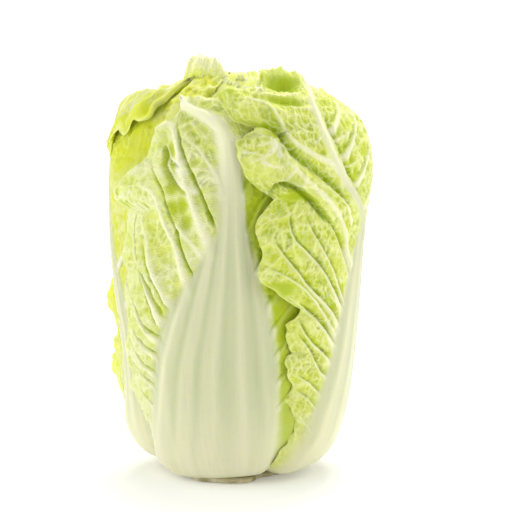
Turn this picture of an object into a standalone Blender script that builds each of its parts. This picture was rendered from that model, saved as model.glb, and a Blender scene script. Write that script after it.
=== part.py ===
"""A head of napa cabbage, standing on its cut stem.

The head is one stem core with rings of leaves round it, each ring inside the one before. Every leaf is a
curved shell that hugs the barrel of the head: its foot starts at the core, its thick white stalk runs up its
middle, and its thin blade wraps round its neighbours. Metres, +Z up, origin at the centre of the cut face of
the stem. The front, with the broadest stalk, faces -Y. Angles run round the head from the front, in degrees,
positive towards +X.
"""

import math

import bmesh
import bpy

# The barrel of the head, as a half outline from the foot of the leaves, round the side, to the crown.
OUTLINE = [
    (0.0300, 0.0040),
    (0.0480, 0.0055),
    (0.0580, 0.0105),
    (0.0660, 0.0220),
    (0.0740, 0.0450),
    (0.0800, 0.0800),
    (0.0835, 0.1200),
    (0.0850, 0.1600),
    (0.0865, 0.2000),
    (0.0855, 0.2290),
    (0.0755, 0.2510),
    (0.0560, 0.2660),
    (0.0300, 0.2760),
    (0.0040, 0.2790),
]
OUTLINE_STEPS = 12
SLOPE_STEP = 0.01  # share of the outline to either side of a point that its slope is read from
FOOT_SHARE = 0.003  # share of the outline that a foot stops short of the core
# Inner rings are the same barrel drawn in towards this height. Heights shrink less than radii do.
GATHER_HEIGHT = 0.200
HEIGHT_SHARE = 0.60

# The stem core, where all the leaves grow from.
BUTT_RADIUS = 0.0310
BUTT_HEIGHT = 0.0034
CORE_FOOT_SIZE = 0.98  # the core's side follows the feet of all barrels between these two sizes
CORE_TOP_SIZE = 0.16
CORE_TIP = 0.004
CORE_GAP = 0.0006
CORE_STEPS = 6
CORE_SIDES = 48

# A leaf is thin where it is blade and thick where it is stalk. Its right edge lies deeper than its left one.
BLADE_THICKNESS = 0.0013
STALK_PROUD = 0.45  # share of the stalk's extra thickness that stands outside the blade
LAYER_STEP = 0.044  # drop in barrel size from one leaf to the next one to its left
CROWN_STEP = 0.40  # share more of it at the crown, where the barrel bends in
LAYER_STEP_DEGREES = 72
# Shares of a leaf's length: its rows of points, closest where the barrel bends, and where its shape changes.
LEAF_ROWS = [0, 0.035, 0.08, 0.13, 0.19, 0.28, 0.40, 0.53, 0.64, 0.73, 0.80, 0.86, 0.91, 0.96, 1]
BLADE_SPREADS = (0.14, 0.54)
STALK_LEANS = (0.55, 1.00)
STALK_NARROWS = (0.10, 0.60)
STALK_THINS = (0.10, 0.90)
CROWN_BENDS = (0.60, 0.80)
STALK_FOOT_WIDTH = 1.05  # shares of the leaf's own half width
STALK_TIP_WIDTH = 0.25
STALK_TIP_THICKNESS = 0.05  # share of its thickness at the foot
TIP_ROUNDING = 0.10

# name, angle of its stalk at the foot and at the tip, degrees from stalk to left and right edge at the foot,
# the same at the widest, and share of the outline where the blade ends.
OUTER_LEAVES = [
    ("outer_leaf_front", -8, -6, 43, 41, 64, 58, 0.800),
    ("outer_leaf_right", 76, 58, 42, 33, 62, 62, 0.860),
    ("outer_leaf_back_right", 147, 138, 35, 31, 44, 58, 0.880),
    ("outer_leaf_back_left", 214, 210, 33, 31, 62, 58, 0.910),
    ("outer_leaf_left", 280, 288, 32, 27, 62, 56, 0.880),
]
OUTER_SIZE = 1.0
OUTER_STALK = 0.0065
OUTER_ACROSS = 10

# name, how many, size of its barrel, turn of its first leaf, stalk thickness, share where the blades end.
RINGS = [
    ("wrapper_leaf", 5, 0.868, 34, 0.0050, 0.900),
    ("inner_leaf", 5, 0.741, 2, 0.0044, 0.900),
    ("heart_leaf", 5, 0.614, 38, 0.0040, 0.890),
    ("bud_leaf", 4, 0.470, 20, 0.0036, 0.880),
    ("centre_leaf", 3, 0.300, 56, 0.0030, 0.860),
]
RING_FOOT = 0.46  # half width of a foot, as a share of the angle from one leaf to the next
RING_REACH = 0.90  # and the same for half the width of the blade
MOST_REACH = 74  # degrees
RING_ACROSS = 8
STALK_SWAY = 6  # degrees that a ring leaf's tip lies left of its foot

LEAF_GREEN = (0.56, 0.68, 0.20, 1)
HEART_YELLOW = (0.78, 0.80, 0.32, 1)
CORE_CREAM = (0.80, 0.76, 0.56, 1)


def clear_scene():
    for obj in list(bpy.data.objects):
        bpy.data.objects.remove(obj)


def ease(value, low, high):
    """0 below low, 1 above high, and a smooth climb between."""
    share = min(max((value - low) / (high - low), 0.0), 1.0)
    return share * share * (3 - 2 * share)


def between(start, end, share):
    return start + (end - start) * share


def smooth_outline():
    """The outline as close points on a Catmull-Rom curve, with the share of its length at each."""
    ends = [OUTLINE[0], *OUTLINE, OUTLINE[-1]]
    points = []
    for before, start, end, after in zip(ends, ends[1:], ends[2:], ends[3:]):
        for step in range(OUTLINE_STEPS):
            t = step / OUTLINE_STEPS
            point = []
            for b, s, e, a in zip(before, start, end, after):
                square = 2 * b - 5 * s + 4 * e - a
                cube = 3 * s - b - 3 * e + a
                point.append(0.5 * (2 * s + (e - b) * t + square * t**2 + cube * t**3))
            points.append(tuple(point))
    points.append(OUTLINE[-1])
    lengths = [0.0]
    for (r0, z0), (r1, z1) in zip(points, points[1:]):
        lengths.append(lengths[-1] + math.hypot(r1 - r0, z1 - z0))
    return points, [length / lengths[-1] for length in lengths]


BARREL, BARREL_SHARES = smooth_outline()


def on_outline(share):
    """(radius, height) on the full-size barrel at a share of its outline."""
    share = min(max(share, 0.0), 1.0)
    for i, (low, high) in enumerate(zip(BARREL_SHARES, BARREL_SHARES[1:])):
        if share <= high:
            t = (share - low) / (high - low)
            return tuple(between(s, e, t) for s, e in zip(BARREL[i], BARREL[i + 1]))
    return BARREL[-1]


def on_barrel(share, degrees, size):
    """A point on the barrel drawn in to a size, at a share of its outline and an angle round the head."""
    radius, height = on_outline(share)
    radius *= size
    height = GATHER_HEIGHT + (height - GATHER_HEIGHT) * (1 - HEIGHT_SHARE * (1 - size))
    angle = math.radians(degrees)
    return radius * math.sin(angle), -radius * math.cos(angle), height


def size_per_metre(share):
    """How much the barrel's size grows for each metre that its wall moves out along its normal."""
    r0, z0 = on_outline(share - SLOPE_STEP)
    r1, z1 = on_outline(share + SLOPE_STEP)
    length = math.hypot(r1 - r0, z1 - z0)
    normal_r, normal_z = (z1 - z0) / length, (r0 - r1) / length
    radius, height = on_outline(share)
    return 1 / (radius * normal_r + HEIGHT_SHARE * (height - GATHER_HEIGHT) * normal_z)


def leaf_object(name, size, stalk, tip, foot, reach, top, stalk_thickness, across, colour):
    """One leaf as a closed shell: an outer sheet, an inner sheet and the rim that joins them."""
    bm = bmesh.new()
    outer, inner = [], []
    for up in LEAF_ROWS:
        outer.append([])
        inner.append([])
        spread = ease(up, *BLADE_SPREADS)
        middle = between(stalk, tip, ease(up, *STALK_LEANS))
        left = between(foot[0], reach[0], spread)
        right = between(foot[1], reach[1], spread)
        stalk_width = between(STALK_FOOT_WIDTH, STALK_TIP_WIDTH, ease(up, *STALK_NARROWS))
        stalk_bulk = stalk_thickness * between(1.0, STALK_TIP_THICKNESS, ease(up, *STALK_THINS))
        for column in range(across + 1):
            side = 2 * column / across - 1
            degrees = middle + side * (right if side > 0 else left)
            share = between(FOOT_SHARE, top - TIP_ROUNDING * abs(side) ** 3, up)
            bulk = stalk_bulk * (1 - ease(abs(side), 0.0, stalk_width))
            step = LAYER_STEP * (1 + CROWN_STEP * ease(share, *CROWN_BENDS))
            layer = size - step * (degrees - stalk) / LAYER_STEP_DEGREES
            per_metre = size_per_metre(share)
            outside = layer + STALK_PROUD * bulk * per_metre
            inside = outside - (BLADE_THICKNESS + bulk) * per_metre
            outer[-1].append(bm.verts.new(on_barrel(share, degrees, outside)))
            inner[-1].append(bm.verts.new(on_barrel(share, degrees, inside)))
    for row in range(len(LEAF_ROWS) - 1):
        for column in range(across):
            beside, above = column + 1, row + 1
            bm.faces.new([outer[row][column], outer[row][beside], outer[above][beside], outer[above][column]])
            bm.faces.new([inner[row][column], inner[above][column], inner[above][beside], inner[row][beside]])
    rim_out = rim_of(outer)
    rim_in = rim_of(inner)
    for i in range(len(rim_out)):
        bm.faces.new([rim_out[i - 1], rim_in[i - 1], rim_in[i], rim_out[i]])
    return finish_object(name, bm, colour)


def rim_of(sheet):
    """The edge of a grid of points, once round: the foot, the right edge, the tip and the left edge."""
    right_edge = [row[-1] for row in sheet[1:]]
    left_edge = [row[0] for row in sheet[-2:0:-1]]
    return sheet[0] + right_edge + sheet[-1][-2::-1] + left_edge


def core_object():
    """The stem core: the cut butt that the head stands on, and the cone inside that carries the leaves."""
    bm = bmesh.new()
    profile = [(0.0, 0.0), (BUTT_RADIUS, 0.0), (BUTT_RADIUS, BUTT_HEIGHT)]
    for step in range(CORE_STEPS + 1):
        size = between(CORE_FOOT_SIZE, CORE_TOP_SIZE, step / CORE_STEPS)
        radius, _, height = on_barrel(0.0, 90, size)
        profile.append((radius - CORE_GAP, height))
    profile.append((0.0, profile[-1][1] + CORE_TIP))
    chain = [bm.verts.new((r, 0, z)) for r, z in profile]
    edges = [bm.edges.new(pair) for pair in zip(chain, chain[1:])]
    bmesh.ops.spin(
        bm,
        geom=chain + edges,
        axis=(0, 0, 1),
        cent=(0, 0, 0),
        angle=2 * math.pi,
        steps=CORE_SIDES,
        use_merge=True,
    )
    bmesh.ops.remove_doubles(bm, verts=bm.verts, dist=1e-6)
    bmesh.ops.recalc_face_normals(bm, faces=bm.faces)
    return finish_object("stem_core", bm, CORE_CREAM)


def finish_object(name, bm, colour):
    mesh = bpy.data.meshes.new(name)
    bm.to_mesh(mesh)
    bm.free()
    mesh.shade_smooth()
    material = bpy.data.materials.new(name)
    material.use_nodes = True
    shader = material.node_tree.nodes["Principled BSDF"]
    shader.inputs["Base Color"].default_value = colour
    shader.inputs["Roughness"].default_value = 0.45
    shader.inputs["Metallic"].default_value = 0.0
    mesh.materials.append(material)
    obj = bpy.data.objects.new(name, mesh)
    bpy.context.scene.collection.objects.link(obj)
    return obj


def build_head():
    clear_scene()
    core_object()
    for name, stalk, tip, foot_left, foot_right, left, right, top in OUTER_LEAVES:
        feet, reach = (foot_left, foot_right), (left, right)
        leaf_object(name, OUTER_SIZE, stalk, tip, feet, reach, top, OUTER_STALK, OUTER_ACROSS, LEAF_GREEN)
    for ring, count, size, first, thickness, top in RINGS:
        turn = 360 / count
        feet, reach = (turn * RING_FOOT,) * 2, (min(turn * RING_REACH, MOST_REACH),) * 2
        colour = LEAF_GREEN if ring == "wrapper_leaf" else HEART_YELLOW
        for number in range(count):
            name = f"{ring}_{number + 1}"
            stalk = first + turn * number
            tip = stalk - STALK_SWAY
            leaf_object(name, size, stalk, tip, feet, reach, top, thickness, RING_ACROSS, colour)


build_head()
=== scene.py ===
"""How a head of napa cabbage looks: its stem core and its leaves, each leaf a crinkled sheet of its own.

Metres, +Z up, the front of the head towards -Y. Every leaf is first laid out flat, with its veins, folds
and fine net raised on it, and is then wrapped round the barrel of the head. A place on the barrel is given
in degrees round the head from the front, positive towards +X, and as a share of the way up its outline.
"""

import math

import bpy
import numpy as np
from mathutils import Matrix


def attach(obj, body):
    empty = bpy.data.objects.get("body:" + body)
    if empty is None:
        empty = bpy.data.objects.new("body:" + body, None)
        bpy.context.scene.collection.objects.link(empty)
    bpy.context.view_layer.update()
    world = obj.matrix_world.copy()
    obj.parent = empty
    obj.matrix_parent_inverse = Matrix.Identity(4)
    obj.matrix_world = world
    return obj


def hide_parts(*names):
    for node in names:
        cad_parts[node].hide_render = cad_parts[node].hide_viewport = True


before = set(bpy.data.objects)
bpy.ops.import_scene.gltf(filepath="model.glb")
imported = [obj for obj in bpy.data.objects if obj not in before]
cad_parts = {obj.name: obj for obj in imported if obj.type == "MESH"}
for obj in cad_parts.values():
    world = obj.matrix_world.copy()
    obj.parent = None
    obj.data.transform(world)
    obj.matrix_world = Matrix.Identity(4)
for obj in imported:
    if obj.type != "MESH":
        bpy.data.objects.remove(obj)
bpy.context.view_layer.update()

# ---------------------------------------------------------------------------------------------------------
# The studio: a seamless white floor, an even white room, two broad soft lamps beside the head, one behind
# and above it and a weak one in front, so that the sides of the head come out lighter than its middle.

FLOOR_SIDE = 3.0
FLOOR_DROP = 0.0002
PAPER_GLOW = 0.13
# Away from the head the paper brightens to the white of the room, so that no horizon shows.
PAPER_BRIGHTENS = {"From Min": 0.11, "From Max": 0.55, "To Min": 0.03, "To Max": 0.80}
LIGHT_COLOUR = (1.0, 1.0, 0.98)
ROOM_LIGHT = 0.46
ROOM_SEEN = 1.1
LAMPS = [
    # name, place, side of the soft box, watts
    ("lamp_left", (-1.30, -0.10, 0.60), 1.7, 12.5),
    ("lamp_right", (1.30, -0.05, 0.60), 1.7, 12),
    ("lamp_top", (0.10, 0.50, 1.30), 0.9, 14),
    ("lamp_front", (-0.55, -1.30, 0.95), 1.2, 3.6),
]
LENS_MM = 110
SENSOR_MM = 36
CAMERA_DISTANCE = 1.07
CAMERA_RISE_DEGREES = 6
AIM = (0.0123, 0.0, 0.146)


class Wiring:
    """Adds nodes to a material, group or world. A value or another node's output goes into each input."""

    def __init__(self, tree):
        self.tree = tree

    def feed(self, node, inputs):
        """Sets or wires up the named inputs of a node."""
        for socket, value in inputs.items():
            if isinstance(value, bpy.types.NodeSocket):
                self.tree.links.new(value, node.inputs[socket])
            else:
                node.inputs[socket].default_value = value

    def add(self, kind, inputs, **settings):
        """A new node with its settings and inputs. Returns its outputs."""
        node = self.tree.nodes.new("ShaderNode" + kind)
        for setting, value in settings.items():
            setattr(node, setting, value)
        self.feed(node, inputs)
        return node.outputs

    def math_of(self, kind, a, b, clamp=False):
        return self.add("Math", {0: a, 1: b}, operation=kind, use_clamp=clamp)[0]

    def plus(self, a, b):
        return self.math_of("ADD", a, b)

    def times(self, a, b):
        return self.math_of("MULTIPLY", a, b)

    def one_less(self, a, clamp=False):
        """1 minus a."""
        return self.math_of("SUBTRACT", 1.0, a, clamp)

    def mixed(self, share, a, b):
        """Colour a, with a share of colour b over it."""
        return self.add("Mix", {"Factor": share, "A": a, "B": b}, data_type="RGBA")["Result"]

    def noise(self, place, scale, detail):
        return self.add("TexNoise", {"Vector": place, "Scale": scale, "Detail": detail})["Fac"]

    def ranged(self, value, low, high, kind="SMOOTHSTEP"):
        """0 at low and 1 at high."""
        inputs = {"Value": value, "From Min": low, "From Max": high}
        return self.add("MapRange", inputs, interpolation_type=kind)["Result"]


half = FLOOR_SIDE / 2
floor_plan = [(-half, -half), (half, -half), (half, half), (-half, half)]
floor_corners = [(x, y, -FLOOR_DROP) for x, y in floor_plan]
floor_mesh = bpy.data.meshes.new("floor")
floor_mesh.from_pydata(floor_corners, [], [(0, 1, 2, 3)])
floor = bpy.data.objects.new("floor", floor_mesh)
bpy.context.scene.collection.objects.link(floor)
paper = bpy.data.materials.new("studio_paper")
paper.use_nodes = True
paper_work = Wiring(paper.node_tree)
seen = paper_work.add("LightPath", {})["Is Camera Ray"]
paper_place = paper_work.add("NewGeometry", {})["Position"]
far_out = paper_work.add("VectorMath", {0: paper_place}, operation="LENGTH")["Value"]
brighter = paper_work.add("MapRange", {**PAPER_BRIGHTENS, "Value": far_out})["Result"]
glow = paper_work.add("Math", {0: seen, 1: brighter, 2: PAPER_GLOW}, operation="MULTIPLY_ADD")[0]
paper_work.feed(
    paper.node_tree.nodes["Principled BSDF"],
    {
        "Base Color": (0.90, 0.90, 0.89, 1),
        "Roughness": 0.9,
        "Specular IOR Level": 0.0,
        "Emission Color": (1, 1, 1, 1),
        "Emission Strength": glow,
    },
)
floor_mesh.materials.append(paper)

world = bpy.data.worlds.new("white_room")
bpy.context.scene.world = world
world.use_nodes = True
room = Wiring(world.node_tree)
room_light = world.node_tree.nodes["Background"]
room.feed(room_light, {"Color": (*LIGHT_COLOUR, 1), "Strength": ROOM_LIGHT})
room_seen = room.add("Background", {"Color": (1, 1, 1, 1), "Strength": ROOM_SEEN})[0]
seen = room.add("LightPath", {})["Is Camera Ray"]
either = room.add("MixShader", {"Fac": seen, 1: room_light.outputs["Background"], 2: room_seen})[0]
room.feed(world.node_tree.nodes["World Output"], {"Surface": either})


def aim_at(obj, target):
    """Turns a lamp or camera so that it looks at the target."""
    dx, dy, dz = (t - p for t, p in zip(target, obj.location))
    obj.rotation_euler = (math.atan2(math.hypot(dx, dy), -dz), 0, math.atan2(dy, dx) - math.pi / 2)


for name, place, side, watts in LAMPS:
    light = bpy.data.lights.new(name, "AREA")
    light.shape = "SQUARE"
    light.size = side
    light.energy = watts
    light.color = LIGHT_COLOUR
    lamp = bpy.data.objects.new(name, light)
    lamp.location = place
    aim_at(lamp, AIM)
    bpy.context.scene.collection.objects.link(lamp)

camera = bpy.data.objects.new("camera", bpy.data.cameras.new("camera"))
camera.data.lens = LENS_MM
camera.data.sensor_width = SENSOR_MM
rise = math.radians(CAMERA_RISE_DEGREES)
camera.location = (
    AIM[0],
    -CAMERA_DISTANCE * math.cos(rise),
    AIM[2] + CAMERA_DISTANCE * math.sin(rise),
)
aim_at(camera, AIM)
bpy.context.scene.collection.objects.link(camera)
bpy.context.scene.camera = camera
bpy.context.scene.view_settings.view_transform = "Standard"

# ---------------------------------------------------------------------------------------------------------
# Stem core: the hard white heart that all the leaves grow from, ending below in the cut butt. The knife
# leaves the butt flat, fibrous and browning. The thin ragged collar round it is left of the trimmed leaves.

OUTLINE = [
    (0.0300, 0.0040),
    (0.0480, 0.0055),
    (0.0580, 0.0105),
    (0.0660, 0.0220),
    (0.0740, 0.0450),
    (0.0800, 0.0800),
    (0.0835, 0.1200),
    (0.0850, 0.1600),
    (0.0865, 0.2000),
    (0.0855, 0.2290),
    (0.0755, 0.2510),
    (0.0560, 0.2660),
    (0.0300, 0.2760),
    (0.0040, 0.2790),
]
GATHER_HEIGHT = 0.200
HEIGHT_SHARE = 0.60


def smooth_line(points, steps=12):
    """Close points on a Catmull-Rom curve through the given ones."""
    points = np.array(points, float)
    ends = np.vstack([2 * points[0] - points[1], points, 2 * points[-1] - points[-2]])
    t = np.arange(steps)[:, None] / steps
    runs = []
    for before, start, end, after in zip(ends, ends[1:], ends[2:], ends[3:]):
        square = 2 * before - 5 * start + 4 * end - after
        cube = 3 * start - before - 3 * end + after
        runs.append(0.5 * (2 * start + (end - before) * t + square * t**2 + cube * t**3))
    return np.vstack([*runs, points[-1:]])


def ease(value, low, high):
    """0 below low, 1 above high, and a smooth climb between."""
    share = np.clip((value - low) / (high - low), 0, 1)
    return share * share * (3 - 2 * share)


barrel = smooth_line(OUTLINE)
barrel_steps = np.hypot(*np.diff(barrel, axis=0).T)
BARREL_LENGTH = float(barrel_steps.sum())
barrel_share = np.r_[0, np.cumsum(barrel_steps)] / BARREL_LENGTH
barrel_slope = np.gradient(barrel, barrel_share * BARREL_LENGTH, axis=0)


def on_barrel(share, degrees, size, lift):
    """Points on the barrel drawn in to a size, lifted off it along its normal."""
    radius = np.interp(share, barrel_share, barrel[:, 0]) * size
    height = np.interp(share, barrel_share, barrel[:, 1])
    height = GATHER_HEIGHT + (height - GATHER_HEIGHT) * (1 - HEIGHT_SHARE * (1 - size))
    out = np.interp(share, barrel_share, barrel_slope[:, 1])
    up = -np.interp(share, barrel_share, barrel_slope[:, 0])
    radius = radius + out * lift
    angle = np.radians(degrees)
    return np.stack([radius * np.sin(angle), -radius * np.cos(angle), height + up * lift], -1)


def soft_noise(x, y, cell, seed):
    """Smooth random swells between -1 and 1, about a cell apart."""
    table = np.random.default_rng(seed).uniform(-1, 1, (64, 64))
    gx, gy = x / cell + 31.7, y / cell + 17.3
    ix, iy = np.floor(gx).astype(int), np.floor(gy).astype(int)
    fx, fy = gx - ix, gy - iy
    fx, fy = fx * fx * (3 - 2 * fx), fy * fy * (3 - 2 * fy)
    low = table[iy % 64, ix % 64] * (1 - fx) + table[iy % 64, (ix + 1) % 64] * fx
    high = table[(iy + 1) % 64, ix % 64] * (1 - fx) + table[(iy + 1) % 64, (ix + 1) % 64] * fx
    return low * (1 - fy) + high * fy


def new_piece(name, points, faces, corner_places, masks, material):
    """A smooth closed mesh with its bake map and its named masks."""
    mesh = bpy.data.meshes.new(name)
    mesh.from_pydata(points.tolist(), [], faces)
    places = mesh.uv_layers.new(name="OFBake")
    places.uv.foreach_set("vector", np.ascontiguousarray(corner_places, np.float32).ravel())
    for mask, values in masks.items():
        layer = mesh.attributes.new(mask, "FLOAT_VECTOR", "POINT")
        layer.data.foreach_set("vector", np.ascontiguousarray(values, np.float32).ravel())
    mesh.shade_smooth()
    mesh.materials.append(material)
    piece = bpy.data.objects.new(name, mesh)
    bpy.context.scene.collection.objects.link(piece)
    return piece


BUTT_RADIUS = 0.0310
COLLAR_RADIUS = 0.0380
COLLAR_REACH = 0.0130
COLLAR_EDGE = [
    # share of the way out to the collar's rim, height
    (0.0, 0.0006),
    (0.5, 0.0004),
    (1.0, 0.0003),
    (1.02, 0.0016),
    (1.0, 0.0032),
    (0.5, 0.0036),
]
CORE_FOOT_SIZE = 0.98
CORE_TOP_SIZE = 0.16
CORE_GAP = 0.0006
CORE_SIDES = 160
CORE_ROWS = 24
BUTT_RINGS = 16


def core_mesh(material):
    """A closed sheet of rings: out over the cut face, round the ragged collar, and in up the cone."""
    turn = np.arange(CORE_SIDES) / CORE_SIDES * 360
    level = turn * 0
    rows = []
    for ring in range(BUTT_RINGS + 1):
        out = max(ring / BUTT_RINGS, 0.004)
        radius = BUTT_RADIUS * out * (1 + 0.025 * soft_noise(turn / 24, level, 1, 3) * ease(out, 0.5, 1))
        knife = 0.0004 * ease(out, 0.2, 0.9) * soft_noise(turn / 5, level + ring / 3, 1, 4)
        rows.append((radius, np.maximum(0.0009 * (1 - out) ** 2 + knife, 0)))
    # The collar reaches furthest out under the front leaf.
    front_share = ease(turn, 300, 330) + ease(25 - turn, 0, 20)
    collar = COLLAR_RADIUS + COLLAR_REACH * front_share
    ragged = 0.03 * soft_noise(turn / 7, level, 1, 6)
    collar = collar * (1 + ragged + 0.02 * soft_noise(turn / 2.5, level, 1, 7))
    for out, height in COLLAR_EDGE:
        rows.append((BUTT_RADIUS + (collar - BUTT_RADIUS) * out, height + level))
    for step in np.linspace(0, 1, CORE_ROWS):
        size = CORE_FOOT_SIZE + (CORE_TOP_SIZE - CORE_FOOT_SIZE) * step
        spot = on_barrel(0.0, 90.0, size, 0.0)
        rib = 0.0005 * np.cos(np.radians(turn * 9)) * (1 - step)
        rows.append((spot[0] - CORE_GAP + rib, spot[2] + level))
    rows.append((rows[-1][0] * 0.1, rows[-1][1] + 0.004))
    angle = np.radians(turn)
    points = np.concatenate([np.stack([r * np.sin(angle), -r * np.cos(angle), z], -1) for r, z in rows])
    faces, places = [], []
    count = len(rows)
    for i in range(count - 1):
        row, above = i * CORE_SIDES, (i + 1) * CORE_SIDES
        for j in range(CORE_SIDES):
            k = (j + 1) % CORE_SIDES
            faces.append((row + j, row + k, above + k, above + j))
            low, high = 0.05 + 0.94 * i / count, 0.05 + 0.94 * (i + 1) / count
            left, right = 0.01 + 0.98 * j / CORE_SIDES, 0.01 + 0.98 * (j + 1) / CORE_SIDES
            places += [(left, low), (right, low), (right, high), (left, high)]
    for i, order in ((0, range(CORE_SIDES - 1, -1, -1)), (count - 1, range(CORE_SIDES))):
        faces.append([i * CORE_SIDES + j for j in order])
        middle = 0.02 if i == 0 else 0.06
        angles = [2 * math.pi * j / CORE_SIDES for j in order]
        places += [(middle + 0.015 * math.cos(a), 0.02 + 0.015 * math.sin(a)) for a in angles]
    return new_piece("stem_core_look", points, faces, np.array(places), {}, material)


# The cut face browns in patches towards its rim, and only near the ground.
core_finish = bpy.data.materials.new("stem_core")
core_finish.use_nodes = True
flesh_work = Wiring(core_finish.node_tree)
spot = flesh_work.add("TexCoord", {})["Object"]
fibres = flesh_work.noise(spot, 260, 5)
blotches = flesh_work.noise(spot, 55, 4)
flattened = flesh_work.add("VectorMath", {0: spot, 1: (1, 1, 0)}, operation="MULTIPLY")["Vector"]
outwards = flesh_work.add("VectorMath", {0: flattened}, operation="LENGTH")["Value"]
upwards = flesh_work.add("SeparateXYZ", {0: spot})["Z"]
browned = flesh_work.ranged(outwards, 0.018, 0.0305, "LINEAR")
browned = flesh_work.times(browned, flesh_work.ranged(upwards, 0.0055, 0.0025, "LINEAR"))
patchy = flesh_work.times(browned, flesh_work.ranged(blotches, 0.35, 0.62, "LINEAR"))
flesh = flesh_work.mixed(fibres, (0.70, 0.66, 0.40, 1), (0.80, 0.76, 0.52, 1))
flesh = flesh_work.mixed(patchy, flesh, (0.27, 0.19, 0.05, 1))
grain = flesh_work.add("Bump", {"Distance": 0.0004, "Height": fibres})["Normal"]
flesh_work.feed(
    core_finish.node_tree.nodes["Principled BSDF"],
    {"Base Color": flesh, "Roughness": 0.7, "Normal": grain},
)

core = core_mesh(core_finish)
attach(core, "root")
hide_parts("stem_core")

# ---------------------------------------------------------------------------------------------------------
# Front leaf: the broadest outer leaf. A thick cream stalk with soft flutes fans out into side veins, and
# between them the thin yellow-green blade is folded, puckered and netted with finer veins.

AROUND = 0.085  # radius at which degrees round the head become metres on the flat leaf
LAYER_STEP = 0.044
CROWN_STEP = 0.40
LAYER_STEP_DEGREES = 72
FOOT_SHARE = 0.003
BLADE_THICKNESS = 0.0010
FLOOR_CLEARANCE = 0.0004
VEIN_RISE = 0.72
PUCKERS = [
    # mesh size, depth, how far its threads rise, how much of them stays hidden in mm
    (2.3, 1.0, 1.0, 0.00),
    (1.2, 0.8, 0.8, 0.08),
    (0.68, 0.36, 0.4, 0.30),
]


def curve_at(pairs, at):
    """A smooth curve through pairs of place and value, read at many places."""
    line = smooth_line(pairs, 8)
    return np.interp(at, np.maximum.accumulate(line[:, 0]), line[:, 1])


def to_flat(degrees, share):
    """Where a place on the barrel lies on the flat leaf, in metres."""
    return np.radians(degrees) * AROUND, share * BARREL_LENGTH


def cell_net(x, y, cell, seed):
    """A net of uneven cells: how far each point is from the nearest thread, and a random tone per cell."""
    rng = np.random.default_rng(seed)
    jitter = rng.uniform(-0.42, 0.42, (64, 64, 2))
    tone = rng.uniform(-1, 1, (64, 64))
    gx, gy = x / cell + 40.5, y / cell + 20.5
    ix, iy = np.floor(gx).astype(int), np.floor(gy).astype(int)
    best = np.full(x.shape, 9.0)
    second = np.full(x.shape, 9.0)
    own = np.zeros(x.shape)
    bx, by, sx, sy = (np.zeros(x.shape) for _ in range(4))
    for down in (-1, 0, 1):
        for side in (-1, 0, 1):
            cx, cy = ix + side, iy + down
            spot = jitter[cy % 64, cx % 64]
            qx, qy = cx + 0.5 + spot[..., 0], cy + 0.5 + spot[..., 1]
            gap = (qx - gx) ** 2 + (qy - gy) ** 2
            first = gap < best
            between = ~first & (gap < second)
            sx = np.where(first, bx, np.where(between, qx, sx))
            sy = np.where(first, by, np.where(between, qy, sy))
            second = np.where(first, best, np.where(between, gap, second))
            bx, by = np.where(first, qx, bx), np.where(first, qy, by)
            own = np.where(first, tone[cy % 64, cx % 64], own)
            best = np.where(first, gap, best)
    apart = np.maximum(np.hypot(sx - bx, sy - by), 0.05)
    return (second - best) / (2 * apart) * cell, own


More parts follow.
